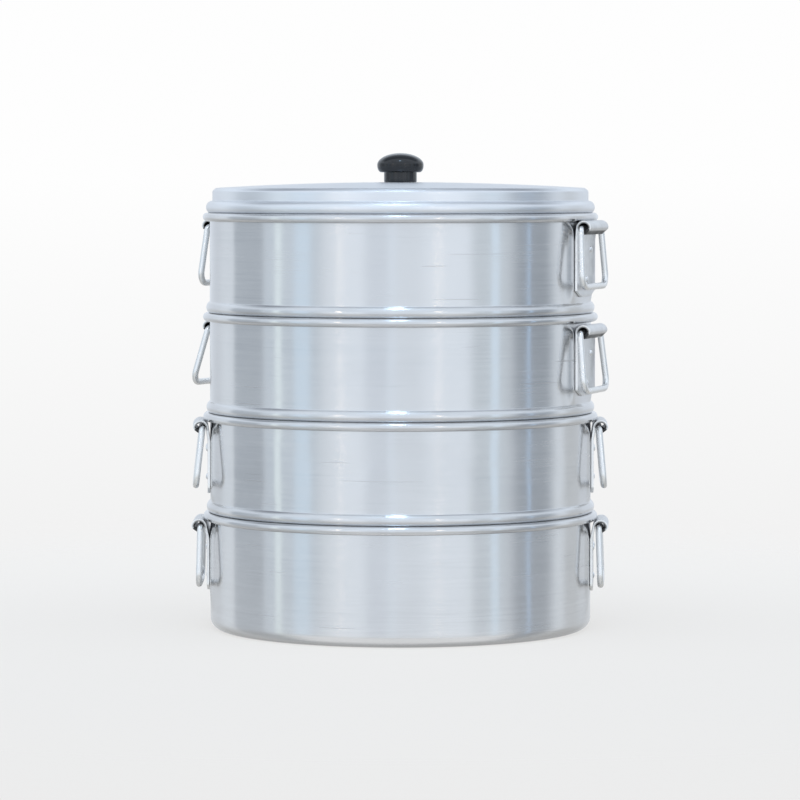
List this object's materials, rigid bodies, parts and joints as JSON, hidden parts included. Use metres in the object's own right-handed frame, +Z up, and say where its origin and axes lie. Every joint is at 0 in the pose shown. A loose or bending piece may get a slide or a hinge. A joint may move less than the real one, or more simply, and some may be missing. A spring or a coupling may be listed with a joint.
{
  "type": "dumpling steamer",
  "caption": "Stacked aluminium dumpling steamer: water pot, perforated steaming tiers, low domed lid with a black knob, and swinging rod bails on riveted handle plates.",
  "frame": {"origin": "middle of the flat underside of the water pot, on the surface it stands on", "axes": "+Z up along the stack's axis; +X towards the handles on the right of the picture; the picture is taken from the -Y side"},
  "size_m": [0.3981, 0.373, 0.4491],
  "materials": {
    "spun_aluminium": "satin spun, with fine level brush lines, light scratches and dull rims",
    "handle_sheet": "bare matt sheet with bright sheared edges",
    "bail_rod": "bare drawn rod, satin, rubbed bright where it is held",
    "rivet_aluminium": "hammered bright heads",
    "black_knob": "glossy black phenolic moulding with a fine parting line",
    "insert_brass": "plain turned",
    "plated_steel": "bright zinc plated"
  },
  "bodies": {
    "pot": {"water_pot": "spun_aluminium", "pot_right_handle_plate": "handle_sheet", "pot_right_rivets": "rivet_aluminium", "pot_left_handle_plate": "handle_sheet", "pot_left_rivets": "rivet_aluminium"},
    "pot_right_bail": {"pot_right_bail": "bail_rod"},
    "pot_left_bail": {"pot_left_bail": "bail_rod"},
    "lower_tier": {"lower_tier_pan": "spun_aluminium", "lower_tier_right_handle_plate": "handle_sheet", "lower_tier_right_rivets": "rivet_aluminium", "lower_tier_left_handle_plate": "handle_sheet", "lower_tier_left_rivets": "rivet_aluminium"},
    "lower_tier_right_bail": {"lower_tier_right_bail": "bail_rod"},
    "lower_tier_left_bail": {"lower_tier_left_bail": "bail_rod"},
    "middle_tier": {"middle_tier_pan": "spun_aluminium", "middle_tier_right_handle_plate": "handle_sheet", "middle_tier_right_rivets": "rivet_aluminium", "middle_tier_left_handle_plate": "handle_sheet", "middle_tier_left_rivets": "rivet_aluminium"},
    "middle_tier_right_bail": {"middle_tier_right_bail": "bail_rod"},
    "middle_tier_left_bail": {"middle_tier_left_bail": "bail_rod"},
    "upper_tier": {"upper_tier_pan": "spun_aluminium", "upper_tier_right_handle_plate": "handle_sheet", "upper_tier_right_rivets": "rivet_aluminium", "upper_tier_left_handle_plate": "handle_sheet", "upper_tier_left_rivets": "rivet_aluminium"},
    "upper_tier_right_bail": {"upper_tier_right_bail": "bail_rod"},
    "upper_tier_left_bail": {"upper_tier_left_bail": "bail_rod"},
    "lid": {"lid_cover": "spun_aluminium", "lid_knob": "black_knob", "knob_insert": "insert_brass", "knob_screw": "plated_steel", "knob_washer": "plated_steel"}
  },
  "joints": [
    {"name": "pot_right_bail_swing", "type": "hinge", "parent": "pot", "child": "pot_right_bail", "pos_m": [0.18794, -0.01149, 0.09787], "axis": [-0.061, -0.9981, 0], "range_deg": [-3.5, 153]},
    {"name": "pot_left_bail_swing", "type": "hinge", "parent": "pot", "child": "pot_left_bail", "pos_m": [-0.18828, -0.00164, 0.09787], "axis": [-0.0087, 1, 0], "range_deg": [-3, 153.5]},
    {"name": "lower_tier_lift", "type": "slide", "parent": "pot", "child": "lower_tier", "axis": [0, 0, 1], "range_m": [0, 0.15]},
    {"name": "lower_tier_right_bail_swing", "type": "hinge", "parent": "lower_tier", "child": "lower_tier_right_bail", "pos_m": [0.1874, -0.00589, 0.19114], "axis": [-0.0314, -0.9995, 0], "range_deg": [-5.8, 150]},
    {"name": "lower_tier_left_bail_swing", "type": "hinge", "parent": "lower_tier", "child": "lower_tier_left_bail", "pos_m": [-0.18726, -0.00916, 0.19114], "axis": [-0.0488, 0.9988, 0], "range_deg": [-7.3, 143.5]},
    {"name": "middle_tier_lift", "type": "slide", "parent": "lower_tier", "child": "middle_tier", "axis": [0, 0, 1], "range_m": [0, 0.15]},
    {"name": "middle_tier_right_bail_swing", "type": "hinge", "parent": "middle_tier", "child": "middle_tier_right_bail", "pos_m": [0.17671, -0.0581, 0.28207], "axis": [-0.3123, -0.95, 0], "range_deg": [-6, 149]},
    {"name": "middle_tier_left_bail_swing", "type": "hinge", "parent": "middle_tier", "child": "middle_tier_left_bail", "pos_m": [-0.16993, 0.07566, 0.28207], "axis": [0.4067, 0.9135, 0], "range_deg": [-15, 140]},
    {"name": "upper_tier_lift", "type": "slide", "parent": "middle_tier", "child": "upper_tier", "axis": [0, 0, 1], "range_m": [0, 0.15]},
    {"name": "upper_tier_right_bail_swing", "type": "hinge", "parent": "upper_tier", "child": "upper_tier_right_bail", "pos_m": [0.17711, -0.0596, 0.37865], "axis": [-0.319, -0.9478, 0], "range_deg": [-4.6, 166.2]},
    {"name": "upper_tier_left_bail_swing", "type": "hinge", "parent": "upper_tier", "child": "upper_tier_left_bail", "pos_m": [-0.17004, 0.07749, 0.37865], "axis": [0.4147, 0.91, 0], "range_deg": [-6.8, 164]},
    {"name": "lid_lift", "type": "slide", "parent": "upper_tier", "child": "lid", "axis": [0, 0, 1], "range_m": [0, 0.15]}
  ]
}
